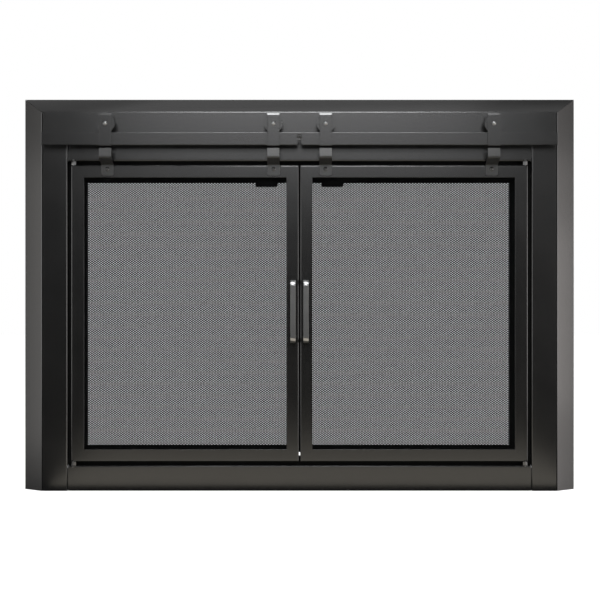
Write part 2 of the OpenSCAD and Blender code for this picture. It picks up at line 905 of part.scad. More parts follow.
module wheel_3() {
  wheel(hanger_xs[2]);
}

module wheel_4() {
  wheel(hanger_xs[3]);
}

// Catches and pivots

strike_t = 1;
strike_r = 6;
strike_z = door_z1 - 8;
magnet_y = door_back_y + strike_t + face_gap;

// Button magnets on the top stop, one for each door
module catch_magnets() {
  color(steel) for (side = [-1, 1])
    rod_y(side * catch_x, strike_z, magnet_d / 2, magnet_y, stop_front_y);
}

nut_af_r = pivot_r * 1.9;
nut_h = 5;

// Hexagon collar and pin of an upper pivot, seated in the top member
module upper_pivot(side) {
  rod_z(side * pivot_x, pivot_y, pivot_r, door_z1 - pivot_bite, member_z + sheet_t + nut_h + 1);
  translate([side * pivot_x, pivot_y, door_z1 + face_gap])
    rotate([0, 0, 30]) cylinder(d = collar_af / cos(30), h = member_z - door_z1 - face_gap, $fn = 6);
}

// The same below a door, seated in the bottom rail
module lower_pivot(side) {
  rod_z(side * pivot_x, pivot_y, pivot_r,
        bottom_rail_h - sheet_t - nut_h - 1, door_z0 + pivot_bite);
  translate([side * pivot_x, pivot_y, bottom_rail_h])
    rotate([0, 0, 30]) cylinder(d = collar_af / cos(30), h = door_z0 - bottom_rail_h - face_gap, $fn = 6);
}

module door_pivot_pins() {
  color(steel) for (side = [-1, 1]) {
    upper_pivot(side);
    lower_pivot(side);
  }
}

// Hexagon nuts on the pivot pins, inside the top member and the bottom rail
module door_pivot_nuts() {
  color(steel) for (side = [-1, 1])
    for (z = [member_z + sheet_t, bottom_rail_h - sheet_t - nut_h])
      translate([side * pivot_x, pivot_y, z]) difference() {
        cylinder(r = nut_af_r, h = nut_h, $fn = 6);
        translate([0, 0, -cut]) cylinder(r = pivot_r, h = nut_h + 2 * cut);
      }
}

// Fixing to the fireplace

clamp_nut_h = 5;

// Strips that reach under the lintel
module lintel_clamp_bars() {
  z = open_z + sheet_t;
  color(dark) for (side = [-1, 1]) translate([side * clamp_spacing / 2, 0, 0]) difference() {
    union() {
      block([-clamp_bar_w / 2, -20, z], [clamp_bar_w / 2, clamp_reach, z + clamp_bar_t]);
      rod_z(0, clamp_screw_y, 7, z + clamp_bar_t, z + clamp_bar_t + clamp_nut_h);
    }
    rod_z(0, throat_d / 2, fix_r + screw_gap, z - cut, z + clamp_bar_t + cut);
    rod_z(0, clamp_screw_y, clamp_screw_r, z - cut, z + clamp_bar_t + clamp_nut_h + cut);
  }
}

// Screws whose round pads press up on the lintel
module lintel_clamp_screws() {
  pad_t = 4;
  color(steel) for (side = [-1, 1]) translate([side * clamp_spacing / 2, clamp_screw_y, 0]) {
    rod_z(0, 0, clamp_screw_r, open_z - 20, open_z + clamp_rise - pad_t + 0.01);
    rod_z(0, 0, 9, open_z + clamp_rise - pad_t, open_z + clamp_rise);
    translate([0, 0, open_z - 25]) cylinder(r = 7.5, h = 5.01, $fn = 6);
  }
}

// Bolts that join the clamp strips to the header
module lintel_bar_bolts() {
  z = open_z + sheet_t + clamp_bar_t;
  color(steel) for (side = [-1, 1]) translate([side * clamp_spacing / 2, throat_d / 2, 0]) {
    rod_z(0, 0, fix_r, open_z - 0.01, z + 0.01);
    translate([0, 0, z]) dome(fix_head_r, fix_head_h);
    translate([0, 0, open_z - 3]) cylinder(r = fix_head_r, h = 3.01, $fn = 6);
  }
}

// Angles behind the bottom rail with the floor anchor holes
module floor_brackets() {
  t = 3;
  y1 = anchor_y + 11;
  color(dark) for (side = [-1, 1]) translate([side * anchor_spacing / 2, 0, 0]) difference() {
    union() {
      block([-anchor_tab_w / 2, throat_d, 0], [anchor_tab_w / 2, y1, t]);
      block([-anchor_tab_w / 2, throat_d, 0], [anchor_tab_w / 2, throat_d + t, rear_lip_h]);
    }
    rod_z(0, anchor_y, anchor_hole_d / 2, -cut, t + cut);
    for (dx = [-8, 8])
      rod_y(dx, rear_lip_h * 0.6, fix_r + screw_gap, throat_d - cut, throat_d + t + cut);
  }
}

// Bolts that join the floor angles to the bottom rail
module floor_bracket_bolts() {
  y0 = throat_d - sheet_t;
  y1 = throat_d + 3;
  color(steel) for (side = [-1, 1]) for (dx = [-8, 8])
    translate([side * anchor_spacing / 2 + dx, 0, rear_lip_h * 0.6]) {
      rod_y(0, 0, fix_r, y0 - 0.01, y1 + 0.01);
      translate([0, y0, 0]) rotate([90, 0, 0]) dome(fix_head_r, fix_head_h);
      translate([0, y1 + 3, 0]) rotate([90, 0, 0]) cylinder(r = fix_head_r, h = 3, $fn = 6);
    }
}

// Doors, each written for the +X side

// Centres of the clips on the stiles and on the rails, as [x, z, turn]
clip_end = 100;
to_middle = 180;
to_side = 0;
to_top = 90;
to_bottom = 270;
clip_zs = [door_z0 + clip_end, (door_z0 + door_z1) / 2, door_z1 - clip_end];
clip_xs = [for (part = [0.3, 0.7]) door_x0 + (door_x1 - door_x0) * part];
clip_places = concat(
  [for (z = clip_zs) [win_x0 - rebate_w, z, to_middle]],
  [for (z = clip_zs) [win_x1 + rebate_w, z, to_side]],
  [for (x = clip_xs) [x, win_z0 - rebate_w, to_bottom]],
  [for (x = clip_xs) [x, win_z1 + rebate_w, to_top]]
);
clip_screw_r = 1.5;
clip_screw_u = 5.5;

module door_frame() {
  difference() {
    slab(door_x0, door_x1, door_z0, door_z1, door_front_y, door_back_y, door_edge_r);
    slab_window(win_x0, win_x1, win_z0, win_z1, door_front_y, door_back_y, window_edge_r);
    block([win_x0 - rebate_w, rebate_y, win_z0 - rebate_w],
          [win_x1 + rebate_w, door_back_y + cut, win_z1 + rebate_w]);
    rod_z(pivot_x, pivot_y, pivot_r + run_gap, door_z0 - cut, door_z0 + pivot_bite + 1);
    rod_z(pivot_x, pivot_y, pivot_r + run_gap, door_z1 - pivot_bite - 1, door_z1 + cut);
    for (z = [relief_bottom_z, relief_top_z])
      rod_y(pivot_x, z, relief_r, door_front_y - cut, door_back_y + cut);
    for (dz = [-1, 1])
      rod_y(handle_x, handle_z + dz * handle_leg_dz, handle_screw_r + screw_gap,
            door_front_y - cut, door_back_y + cut);
    for (x = [hanger_inner_x, hanger_outer_x])
      rod_y(x, bracket_screw_z, bracket_screw_r, door_front_y - cut, door_back_y - 2);
    for (place = clip_places)
      at_clip(place) rod_y(clip_screw_u, 0, clip_screw_r, door_back_y - 6, door_back_y + cut);
  }
}

// Puts a clip's own axes at a place on the door, with +X away from the glass
module at_clip(place) {
  translate([place[0], 0, place[1]]) rotate([0, -place[2], 0]) children();
}

module door_glass() {
  g = rebate_w - glass_gap;
  block([win_x0 - g, glass_y, win_z0 - g], [win_x1 + g, glass_back_y, win_z1 + g]);
}

// Flat tape between the door frame and the glass
module glass_gasket() {
  g = rebate_w - glass_gap;
  difference() {
    block([win_x0 - g, rebate_y, win_z0 - g], [win_x1 + g, glass_y, win_z1 + g]);
    block([win_x0 - 0.5, rebate_y - cut, win_z0 - 0.5],
          [win_x1 + 0.5, glass_y + cut, win_z1 + 0.5]);
  }
}

// Joggled clips screwed to the back of the door frame
module glass_clips() {
  tongue = 8;
  foot = 10;
  for (place = clip_places) at_clip(place) difference() {
    union() {
      block([-tongue, glass_back_y, -clip_w / 2], [0, glass_back_y + clip_t, clip_w / 2]);
      block([-clip_t - 0.2, glass_back_y, -clip_w / 2], [-0.2, door_back_y + clip_t, clip_w / 2]);
      block([-clip_t - 0.2, door_back_y, -clip_w / 2], [foot, door_back_y + clip_t, clip_w / 2]);
    }
    rod_y(clip_screw_u, 0, clip_screw_r + 0.2, door_back_y - cut, door_back_y + clip_t + cut);
  }
}

module clip_screws() {
  for (place = clip_places) at_clip(place) {
    rod_y(clip_screw_u, 0, clip_screw_r, door_back_y - 5, door_back_y + clip_t + 0.01);
    translate([clip_screw_u, door_back_y + clip_t, 0]) rotate([-90, 0, 0]) dome(3, 1.4);
  }
}

// Bent bar handle, as its side outline extruded to the bar's width
module handle() {
  inner_r = handle_r - handle_t;
  difference() {
    along_x(handle_x - handle_w / 2, handle_x + handle_w / 2) difference() {
      arch_outline(handle_front_y, handle_len, handle_r);
      arch_outline(handle_front_y + handle_t, handle_len - 2 * handle_t, inner_r);
    }
    for (dz = [-1, 1])
      rod_y(handle_x, handle_z + dz * handle_leg_dz, handle_screw_r,
            door_front_y - 14, door_front_y + cut);
  }
}

// Outline from the door face out to y, with rounded outer corners
module arch_outline(y, long, r) {
  z0 = handle_z - long / 2;
  translate([y + r, z0]) square([door_front_y - y - r, long]);
  translate([y, z0 + r]) square([r, long - 2 * r]);
  for (z = [z0 + r, z0 + long - r]) translate([y + r, z]) circle(r = r);
}

module handle_screws() {
  for (dz = [-1, 1]) {
    z = handle_z + dz * handle_leg_dz;
    rod_y(handle_x, z, handle_screw_r, door_front_y - 12, door_back_y + 0.01);
    translate([handle_x, door_back_y, z]) rotate([-90, 0, 0]) dome(3.8, 2.2);
  }
}

// Joggled brackets that carry on the line of the straps down to the door
module door_brackets() {
  x0 = strap_w / 2;
  for (x = [hanger_inner_x, hanger_outer_x]) translate([x, 0, 0]) difference() {
    intersection() {
      along_x(-x0, x0) folded([
        [strap_front_y + bracket_lean, bracket_z1],
        [strap_front_y, bend_z1],
        [foot_front_y, bend_z0],
        [foot_front_y, bracket_z0]
      ], bracket_t);
      along_y(strap_front_y - cut, door_front_y + cut) bracket_outline(x0);
    }
    rod_y(0, bracket_screw_z, bracket_screw_r + screw_gap, foot_front_y - cut, door_front_y + cut);
  }
}

// Front outline of a bracket, with its lower corners rounded
module bracket_outline(x0) {
  r = bracket_corner_r;
  translate([-x0, bracket_z0 + r]) square([2 * x0, bracket_z1 - bracket_z0 - r]);
  translate([-x0 + r, bracket_z0]) square([2 * (x0 - r), r + 0.01]);
  for (x = [-x0 + r, x0 - r]) translate([x, bracket_z0 + r]) circle(r = r);
}

module bracket_screws() {
  for (x = [hanger_inner_x, hanger_outer_x])
    screw_y(x, bracket_screw_z, bracket_screw_r, bracket_screw_head_d / 2, 2.6,
            foot_front_y, door_back_y - 4);
}

// Steel disc that meets the catch magnet
module catch_strike() {
  rod_y(catch_x, strike_z, strike_r, door_back_y, door_back_y + strike_t);
}

module door_frame_left() {
  color(black) mirror([1, 0, 0]) door_frame();
}

module door_glass_left() {
  color(clear_glass) mirror([1, 0, 0]) door_glass();
}

module glass_gasket_left() {
  color(tape) mirror([1, 0, 0]) glass_gasket();
}

module glass_clips_left() {
  color(steel) mirror([1, 0, 0]) glass_clips();
}

module clip_screws_left() {
  color(steel) mirror([1, 0, 0]) clip_screws();
}

module handle_left() {
  color(black) mirror([1, 0, 0]) handle();
}

module handle_screws_left() {
  color(steel) mirror([1, 0, 0]) handle_screws();
}

module door_brackets_left() {
  color(black) mirror([1, 0, 0]) door_brackets();
}

module bracket_screws_left() {
  color(dark) mirror([1, 0, 0]) bracket_screws();
}

module catch_strike_left() {
  color(steel) mirror([1, 0, 0]) catch_strike();
}

module door_frame_right() {
  color(black) door_frame();
}

module door_glass_right() {
  color(clear_glass) door_glass();
}

module glass_gasket_right() {
  color(tape) glass_gasket();
}

module glass_clips_right() {
  color(steel) glass_clips();
}

module clip_screws_right() {
  color(steel) clip_screws();
}

module handle_right() {
  color(black) handle();
}

module handle_screws_right() {
  color(steel) handle_screws();
}

module door_brackets_right() {
  color(black) door_brackets();
}

module bracket_screws_right() {
  color(dark) bracket_screws();
}

module catch_strike_right() {
  color(steel) catch_strike();
}

// Gates, written for the +X side between an inner edge and an outer edge

// Bar frame of a gate with its two pivot pins
module gate_frame(inner, outer) {
  w = gate_bar_w;
  pin_x = outer - gate_pin_inset;
  difference() {
    block([inner, gate_y0, gate_z0], [outer, gate_y1, gate_z1]);
    block([inner + w, gate_y0 - cut, gate_z0 + w], [outer - w, gate_y1 + cut, gate_z1 - w]);
  }
  rod_z(pin_x, -gate_mid_d, gate_pin_r, gate_z1 - 0.01, member_z + sheet_t + 3);
  rod_z(pin_x, -gate_mid_d, gate_shoulder_r, bottom_rail_h + stop_t + face_gap, gate_z0 + 0.01);
  rod_z(pin_x, -gate_mid_d, gate_pin_r, bottom_rail_h - sheet_t - 3, gate_z0);
}

// Net of rhombs welded to the back of a gate frame
module gate_mesh(inner, outer) {
  x0 = inner + gate_bar_w - mesh_bite;
  x1 = outer - gate_bar_w + mesh_bite;
  z0 = gate_z0 + gate_bar_w - mesh_bite;
  z1 = gate_z1 - gate_bar_w + mesh_bite;
  pitch_x = (x1 - x0 - 2 * mesh_bite) / mesh_columns;
  pitch_z = (z1 - z0 - 2 * mesh_bite) / mesh_rows;
  slant = mesh_strand_w / 2 * norm([pitch_x, pitch_z]);
  half_x = pitch_x / 2 - slant / pitch_z;
  half_z = pitch_z / 2 - slant / pitch_x;
  along_y(gate_y1, gate_y1 + mesh_t) difference() {
    translate([x0, z0]) square([x1 - x0, z1 - z0]);
    translate([x0 + mesh_bite, z0 + mesh_bite]) {
      for (i = [0:mesh_columns - 1]) for (j = [0:mesh_rows - 1])
        translate([(i + 0.5) * pitch_x, (j + 0.5) * pitch_z]) rhomb(half_x, half_z);
      for (i = [1:mesh_columns - 1]) for (j = [1:mesh_rows - 1])
        translate([i * pitch_x, j * pitch_z]) rhomb(half_x, half_z);
    }
  }
}

module rhomb(half_x, half_z) {
  polygon([[-half_x, 0], [0, -half_z], [half_x, 0], [0, half_z]]);
}

// Finger tab on the front of a gate's top bar, with its middle at x and one slanted corner
module gate_tab(x) {
  bar_z = gate_z1 - gate_bar_w;
  lip = 3;
  slant = 3.5;
  half = tab_w / 2;
  translate([x, 0, bar_z - tab_drop]) {
    along_y(gate_y0 - tab_t, gate_y0) polygon([
      [-half, 1],
      [-half + 1, 0],
      [half - slant, 0],
      [half, slant],
      [half, tab_drop + tab_lap],
      [-half, tab_drop + tab_lap]
    ]);
    block([-half + 2, gate_y0 - tab_t - lip, 0],
          [half - slant - 1, gate_y0 - tab_t + 0.01, tab_t]);
  }
}

module gate_frame_left() {
  color(dark) mirror([1, 0, 0]) gate_frame(gate_left_x0, gate_left_x1);
}

module gate_mesh_left() {
  color(dark) mirror([1, 0, 0]) gate_mesh(gate_left_x0, gate_left_x1);
}

module gate_tab_left() {
  color(dark) gate_tab(-tab_x);
}

module gate_frame_right() {
  color(dark) gate_frame(gate_right_x0, gate_right_x1);
}

module gate_mesh_right() {
  color(dark) gate_mesh(gate_right_x0, gate_right_x1);
}

module gate_tab_right() {
  color(dark) gate_tab(tab_x);
}

surround_top();
surround_left();
surround_right();
corner_plates();
top_member();
bottom_rail();
rail_end_brackets();
frame_screws();
stop_left();
stop_right();
stop_top();
stop_bottom();
track_rail();
rail_standoffs();
rail_screws();
hanger_straps();
strap_spacers();
strap_screws();
axle_bolts();
axle_nuts();
wheel_1();
wheel_2();
wheel_3();
wheel_4();
catch_magnets();
door_pivot_pins();
door_pivot_nuts();
lintel_clamp_bars();
lintel_clamp_screws();
lintel_bar_bolts();
floor_brackets();
floor_bracket_bolts();
door_frame_left();
door_glass_left();
glass_gasket_left();
glass_clips_left();
clip_screws_left();
handle_left();
handle_screws_left();
door_brackets_left();
bracket_screws_left();
catch_strike_left();
door_frame_right();
door_glass_right();
glass_gasket_right();
glass_clips_right();
clip_screws_right();
handle_right();
handle_screws_right();
door_brackets_right();
bracket_screws_right();
catch_strike_right();
gate_frame_left();
gate_mesh_left();
gate_tab_left();
gate_frame_right();
gate_mesh_right();
gate_tab_right();
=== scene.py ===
"""Looks of the fireplace door set: paint, steel, glass, fine mesh, welds, threads and a plain studio."""
import json
import math

import bmesh
import bpy
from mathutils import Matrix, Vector


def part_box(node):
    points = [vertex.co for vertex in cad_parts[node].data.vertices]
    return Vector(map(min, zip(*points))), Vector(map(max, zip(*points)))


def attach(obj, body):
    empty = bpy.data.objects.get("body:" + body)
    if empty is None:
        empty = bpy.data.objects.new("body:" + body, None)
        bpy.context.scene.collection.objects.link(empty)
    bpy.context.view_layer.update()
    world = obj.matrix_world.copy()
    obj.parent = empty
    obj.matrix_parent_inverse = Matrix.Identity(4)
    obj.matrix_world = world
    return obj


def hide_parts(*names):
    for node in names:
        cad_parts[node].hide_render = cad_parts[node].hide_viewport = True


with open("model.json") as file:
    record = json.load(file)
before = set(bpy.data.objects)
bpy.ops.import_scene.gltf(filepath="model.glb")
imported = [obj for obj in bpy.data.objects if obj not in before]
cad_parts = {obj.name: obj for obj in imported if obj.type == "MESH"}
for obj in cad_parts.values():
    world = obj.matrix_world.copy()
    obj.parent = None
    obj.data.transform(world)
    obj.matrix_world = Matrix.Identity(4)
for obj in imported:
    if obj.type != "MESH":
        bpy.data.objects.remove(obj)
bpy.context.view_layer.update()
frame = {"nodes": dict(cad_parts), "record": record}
MM = 0.001

# The camera stands where the photograph's perspective puts it
CAMERA_AT = (0.001, -3.240, 0.398)
CAMERA_LENS = 92.1
SENSOR = 36.0
CLIP_START, CLIP_END = 0.05, 100.0

SIDES = (("left", -1), ("right", 1))


def make_camera():
    data = bpy.data.cameras.new("camera")
    data.lens = CAMERA_LENS
    data.sensor_width = SENSOR
    data.clip_start, data.clip_end = CLIP_START, CLIP_END
    camera = bpy.data.objects.new("camera", data)
    camera.location = CAMERA_AT
    camera.rotation_euler = (math.radians(90), 0, 0)
    bpy.context.scene.collection.objects.link(camera)
    bpy.context.scene.camera = camera


# ---------------------------------------------------------------- material helpers


class Shader:
    """A material with one Principled shader, and short ways to add nodes to it."""

    def __init__(self, name):
        self.material = bpy.data.materials.new(name)
        self.material.use_nodes = True
        self.nodes = self.material.node_tree.nodes
        self.links = self.material.node_tree.links
        self.nodes.clear()
        self.output = self.nodes.new("ShaderNodeOutputMaterial")
        self.principled = self.nodes.new("ShaderNodeBsdfPrincipled")
        self.links.new(self.principled.outputs["BSDF"], self.output.inputs["Surface"])
        self.place = self.nodes.new("ShaderNodeTexCoord").outputs["Object"]

    def set(self, **values):
        """Sets sockets of the Principled shader, with _ for the spaces in their names."""
        for name, value in values.items():
            self.principled.inputs[name.replace("_", " ")].default_value = value

    def link(self, source, socket_name):
        self.links.new(source, self.principled.inputs[socket_name])

    def stretched(self, scale):
        node = self.nodes.new("ShaderNodeMapping")
        node.inputs["Scale"].default_value = scale
        self.links.new(self.place, node.inputs["Vector"])
        return node.outputs["Vector"]

    def noise(self, scale, detail=3.0, roughness=0.5, vector=None):
        node = self.nodes.new("ShaderNodeTexNoise")
        node.inputs["Scale"].default_value = scale
        node.inputs["Detail"].default_value = detail
        node.inputs["Roughness"].default_value = roughness
        self.links.new(vector or self.place, node.inputs["Vector"])
        return node.outputs["Fac"]

    def cells(self, scale, vector=None):
        node = self.nodes.new("ShaderNodeTexVoronoi")
        node.inputs["Scale"].default_value = scale
        self.links.new(vector or self.place, node.inputs["Vector"])
        return node.outputs["Distance"]

    def remap(self, source, low, high, start=0.3, end=0.7):
        node = self.nodes.new("ShaderNodeMapRange")
        node.inputs["From Min"].default_value = start
        node.inputs["From Max"].default_value = end
        node.inputs["To Min"].default_value = low
        node.inputs["To Max"].default_value = high
        self.links.new(source, node.inputs["Value"])
        return node.outputs["Result"]

    def blend(self, source, colour_a, colour_b, start=0.3, end=0.7):
        node = self.nodes.new("ShaderNodeValToRGB")
        node.color_ramp.elements[0].position = start
        node.color_ramp.elements[1].position = end
        node.color_ramp.elements[0].color = (*colour_a, 1)
        node.color_ramp.elements[1].color = (*colour_b, 1)
        self.links.new(source, node.inputs["Fac"])
        return node.outputs["Color"]

    def add(self, source_a, source_b, share_b):
        node = self.nodes.new("ShaderNodeMath")
        node.operation = "MULTIPLY_ADD"
        self.links.new(source_b, node.inputs[0])
        node.inputs[1].default_value = share_b
        self.links.new(source_a, node.inputs[2])
        return node.outputs["Value"]

    def bump(self, source, height, strength=1.0):
        node = self.nodes.new("ShaderNodeBump")
        node.inputs["Distance"].default_value = height
        node.inputs["Strength"].default_value = strength
        self.links.new(source, node.inputs["Height"])
        self.links.new(node.outputs["Normal"], self.principled.inputs["Normal"])


def powder_coat(name, deep, pale, rough_low, rough_high, grain_height, specular=0.67):
    """Baked paint: a fine orange peel, a faint cloudiness and slightly uneven gloss."""
    s = Shader(name)
    clouds = s.noise(14, detail=4, roughness=0.6)
    peel = s.add(s.noise(620, detail=2), s.noise(1700, detail=2), 0.45)
    s.link(s.blend(clouds, deep, pale), "Base Color")
    gloss = s.add(clouds, s.noise(140, detail=2), 0.3)
    s.link(s.remap(gloss, rough_low, rough_high, 0.4, 0.9), "Roughness")
    s.bump(peel, grain_height)
    s.set(IOR=1.6, Specular_IOR_Level=specular)
    return s.material


def dark_nickel(name, deep, pale, rough_low, rough_high):
    """Dark plated bar: fine marks along its length under a soft metallic gloss."""
    s = Shader(name)
    marks = s.noise(90, detail=5, roughness=0.7, vector=s.stretched((30, 30, 2)))
    s.link(s.blend(s.add(s.noise(25, detail=3), marks, 0.4), deep, pale, 0.4, 0.9), "Base Color")
    s.link(s.remap(marks, rough_low, rough_high), "Roughness")
    s.bump(marks, 0.000006, 0.5)
    s.set(Metallic=1.0)
    return s.material


def plated_steel(name, deep, pale, rough_low, rough_high):
    """Zinc plate: soft crystal patches over fine drawing marks."""
    s = Shader(name)
    patches = s.cells(160)
    marks = s.noise(60, detail=5, roughness=0.7, vector=s.stretched((40, 40, 3)))
    s.link(s.blend(s.add(patches, marks, 0.5), deep, pale, 0.2, 0.9), "Base Color")
    s.link(s.remap(marks, rough_low, rough_high), "Roughness")
    s.bump(marks, 0.00001, 0.5)
    s.set(Metallic=1.0)
    return s.material


def clear_glass(name, tint):
    """Flat tempered glass with the faintest roller wave.

    Light from lamps and from other surfaces goes straight through.
    """
    s = Shader(name)
    s.set(Base_Color=(*tint, 1), Roughness=0.0, IOR=1.45, Transmission_Weight=1.0)
    s.bump(s.noise(3, detail=1), 0.0004, 0.15)
    path = s.nodes.new("ShaderNodeLightPath")
    through = s.nodes.new("ShaderNodeBsdfTransparent")
    through.inputs["Color"].default_value = (*(math.sqrt(t) for t in tint), 1)
    surface = s.principled.outputs["BSDF"]
    for kind in ("Is Glossy Ray", "Is Diffuse Ray", "Is Shadow Ray"):
        mix = s.nodes.new("ShaderNodeMixShader")
        s.links.new(path.outputs[kind], mix.inputs[0])
        s.links.new(surface, mix.inputs[1])
        s.links.new(through.outputs["BSDF"], mix.inputs[2])
        surface = mix.outputs["Shader"]
    s.links.new(surface, s.output.inputs["Surface"])
    return s.material


def woven_tape(name, deep, pale):
    """Flat glass-fibre tape: crossing yarns with a soft, dull surface."""
    s = Shader(name)
    weave = s.add(s.cells(900, s.stretched((1, 1, 2.4))), s.noise(2600, detail=2), 0.4)
    s.link(s.blend(weave, deep, pale, 0.2, 0.9), "Base Color")
    s.bump(weave, 0.0002)
    s.set(Roughness=0.9, Sheen_Weight=0.25)
    return s.material


def mesh_paint(name, deep, pale):
    """High-temperature black on the mesh strands, of uneven tone and gloss."""
    s = Shader(name)
    uneven = s.noise(90, detail=4)
    s.link(s.blend(uneven, deep, pale), "Base Color")
    s.link(s.remap(uneven, 0.38, 0.55), "Roughness")
    s.bump(s.noise(2200, detail=2), 0.00002)
    s.set(Specular_IOR_Level=0.67)
    return s.material


# ---------------------------------------------------------------- finishes of the CAD nodes

MATERIALS = {
    "black_steel": powder_coat(
        "black_steel", (0.0038, 0.0038, 0.0037), (0.0052, 0.0051, 0.0049), 0.205, 0.235, 0.000008,
    ),
    "dark_steel": powder_coat(
        "dark_steel", (0.0040, 0.0040, 0.0040), (0.0060, 0.0059, 0.0058), 0.22, 0.30, 0.00001,
    ),
    "gate_paint": powder_coat(
        "gate_paint", (0.0015, 0.0015, 0.0015), (0.0025, 0.0025, 0.0024), 0.60, 0.75, 0.00003, 0.10,
    ),
    # Painted light: a lighter, warmer copy of the black paint, so the bracket plates read brighter
    "bracket_painted_light": powder_coat(
        "bracket_painted_light", (0.0085, 0.0083, 0.0076), (0.0120, 0.0117, 0.0108), 0.30, 0.36, 0.00001,
    ),
    "handle_metal": dark_nickel("handle_metal", (0.27, 0.27, 0.27), (0.34, 0.34, 0.335), 0.27, 0.33),
    "black_oxide": dark_nickel("black_oxide", (0.08, 0.08, 0.08), (0.13, 0.13, 0.128), 0.20, 0.27),
    "worn_steel": dark_nickel("worn_steel", (0.26, 0.26, 0.26), (0.35, 0.35, 0.345), 0.30, 0.38),
    "zinc_steel": plated_steel("zinc_steel", (0.42, 0.42, 0.41), (0.66, 0.66, 0.65), 0.28, 0.42),
    "tempered_glass": clear_glass("tempered_glass", (0.595, 0.612, 0.622)),
    "gasket_tape": woven_tape("gasket_tape", (0.02, 0.02, 0.02), (0.06, 0.06, 0.058)),
    "mesh_steel": mesh_paint("mesh_steel", (0.006, 0.006, 0.006), (0.016, 0.016, 0.0155)),
}

# Nodes whose finish isn't their slot's usual one
OWN_FINISH = {
    "handle_left": "handle_metal", "handle_right": "handle_metal", "door_pivot_pins": "black_oxide",
    "axle_bolts": "worn_steel", "bracket_screws_left": "black_oxide", "bracket_screws_right": "black_oxide",
    "door_brackets_left": "bracket_painted_light", "door_brackets_right": "bracket_painted_light",
    "gate_frame_left": "gate_paint", "gate_frame_right": "gate_paint",
    "gate_tab_left": "gate_paint", "gate_tab_right": "gate_paint",
    "stop_left": "gate_paint", "stop_right": "gate_paint",
    "stop_top": "gate_paint", "stop_bottom": "gate_paint",
}

# Rounding of the edges of folded sheet, bars and turned pieces, in millimetres
EDGE_ROUNDING = {
    "surround_top": 0.15, "surround_left": 0.15, "surround_right": 0.15,
    "top_member": 0.15, "bottom_rail": 0.15, "track_rail": 1.3,
    "door_frame_left": 0.2, "door_frame_right": 0.2, "handle_left": 1.6, "handle_right": 1.6,
    "door_brackets_left": 0.5, "door_brackets_right": 0.5, "gate_frame_left": 0.6, "gate_frame_right": 0.6,
    "gate_tab_left": 0.3, "gate_tab_right": 0.3, "lintel_clamp_bars": 0.5, "floor_brackets": 0.5,
    "corner_plates": 0.4, "rail_end_brackets": 0.4, "rail_standoffs": 0.4, "strap_spacers": 0.3,
    "stop_left": 0.4, "stop_right": 0.4, "stop_top": 0.4, "stop_bottom": 0.4,
    "door_pivot_pins": 0.4, "door_pivot_nuts": 0.3, "axle_nuts": 0.25, "catch_magnets": 0.4,
    "lintel_clamp_screws": 0.4, "door_glass_left": 0.4, "door_glass_right": 0.4,
}
EDGE_ANGLE = math.radians(28)
EDGE_SEGMENTS = 3
FLAT_ANGLE = math.radians(0.4)
JOIN_GAP = 0.000005

# The clamp on overlaps would take this piece's rounding away
FULL_ROUNDING = ("track_rail",)


def round_edges(node, width):
    """Joins the node's split corners, clears its flat faces and rounds its edges."""
    weld = node.modifiers.new("weld", "WELD")
    weld.merge_threshold = JOIN_GAP
    flat = node.modifiers.new("flat", "DECIMATE")
    flat.decimate_type = "DISSOLVE"
    flat.angle_limit = FLAT_ANGLE
    bevel = node.modifiers.new("edges", "BEVEL")
    bevel.width = width
    bevel.segments = EDGE_SEGMENTS
    bevel.limit_method = "ANGLE"
    bevel.angle_limit = EDGE_ANGLE
    bevel.use_clamp_overlap = node.name not in FULL_ROUNDING
    bevel.loop_slide = False
    bevel.harden_normals = True


def finish_nodes():
    slots = {part["node"]: part["material_slot"] for part in frame["record"]["subparts"]}
    for name, node in frame["nodes"].items():
        for place in node.material_slots:
            place.material = MATERIALS[OWN_FINISH.get(name, slots[name])]
        if name in EDGE_ROUNDING:
            round_edges(node, EDGE_ROUNDING[name] * MM)


# ---------------------------------------------------------------- mesh building


def add_piece(name, build, slot, body, replaces=(), finish=None):
    """Makes an object from a function that fills a bmesh, and lets it ride on a body."""
    work = bmesh.new()
    build(work)
    bmesh.ops.recalc_face_normals(work, faces=work.faces)
    mesh = bpy.data.meshes.new(name)
    work.to_mesh(mesh)
    work.free()
    mesh.materials.append(MATERIALS[finish or slot])
    piece = bpy.data.objects.new(name, mesh)
    bpy.context.scene.collection.objects.link(piece)
    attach(piece, body)
    if replaces:
        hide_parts(*replaces)


def tube(work, rings):
    """Skins a list of rings, each a list of points, with quads and end caps."""
    loops = [[work.verts.new(p) for p in ring] for ring in rings]
    count = len(loops[0])
    for a, b in zip(loops, loops[1:]):
        for i in range(count):
            work.faces.new((a[i], a[(i + 1) % count], b[(i + 1) % count], b[i]))
    work.faces.new(loops[0])
    work.faces.new(reversed(loops[-1]))


BOX_FACES = ((0, 1, 3, 2), (4, 6, 7, 5), (0, 4, 5, 1), (2, 3, 7, 6), (0, 2, 6, 4), (1, 5, 7, 3))


def box_between(work, low, high):
    corners = [
        work.verts.new((x, y, z))
        for x in (low[0], high[0]) for y in (low[1], high[1]) for z in (low[2], high[2])
    ]
    for face in BOX_FACES:
        work.faces.new([corners[i] for i in face])


# ---------------------------------------------------------------- fine mesh of the gates

MESH_RHOMB_W = 6.45 * MM
MESH_RHOMB_H = 4.60 * MM
STRAND_W = 1.75 * MM
STRAND_T = 1.0 * MM
STRAND_SIDES = 6
SHORTEST_STRAND = 4 * MM
MESH_HEM = 8 * MM
OUTER_HEM = 10.1 * MM
STRAND_INSET = MESH_HEM / 3


def clipped(offset, direction, normal, half_w, half_h):
    """Where the line at an offset from the middle enters and leaves a rectangle, or None."""
    low, high = -1e9, 1e9
    for axis, half in ((0, half_w), (1, half_h)):
        start = normal[axis] * offset
        a, b = sorted(((-half - start) / direction[axis], (half - start) / direction[axis]))
        low, high = max(low, a), min(high, b)
    return (low, high) if high - low > SHORTEST_STRAND else None


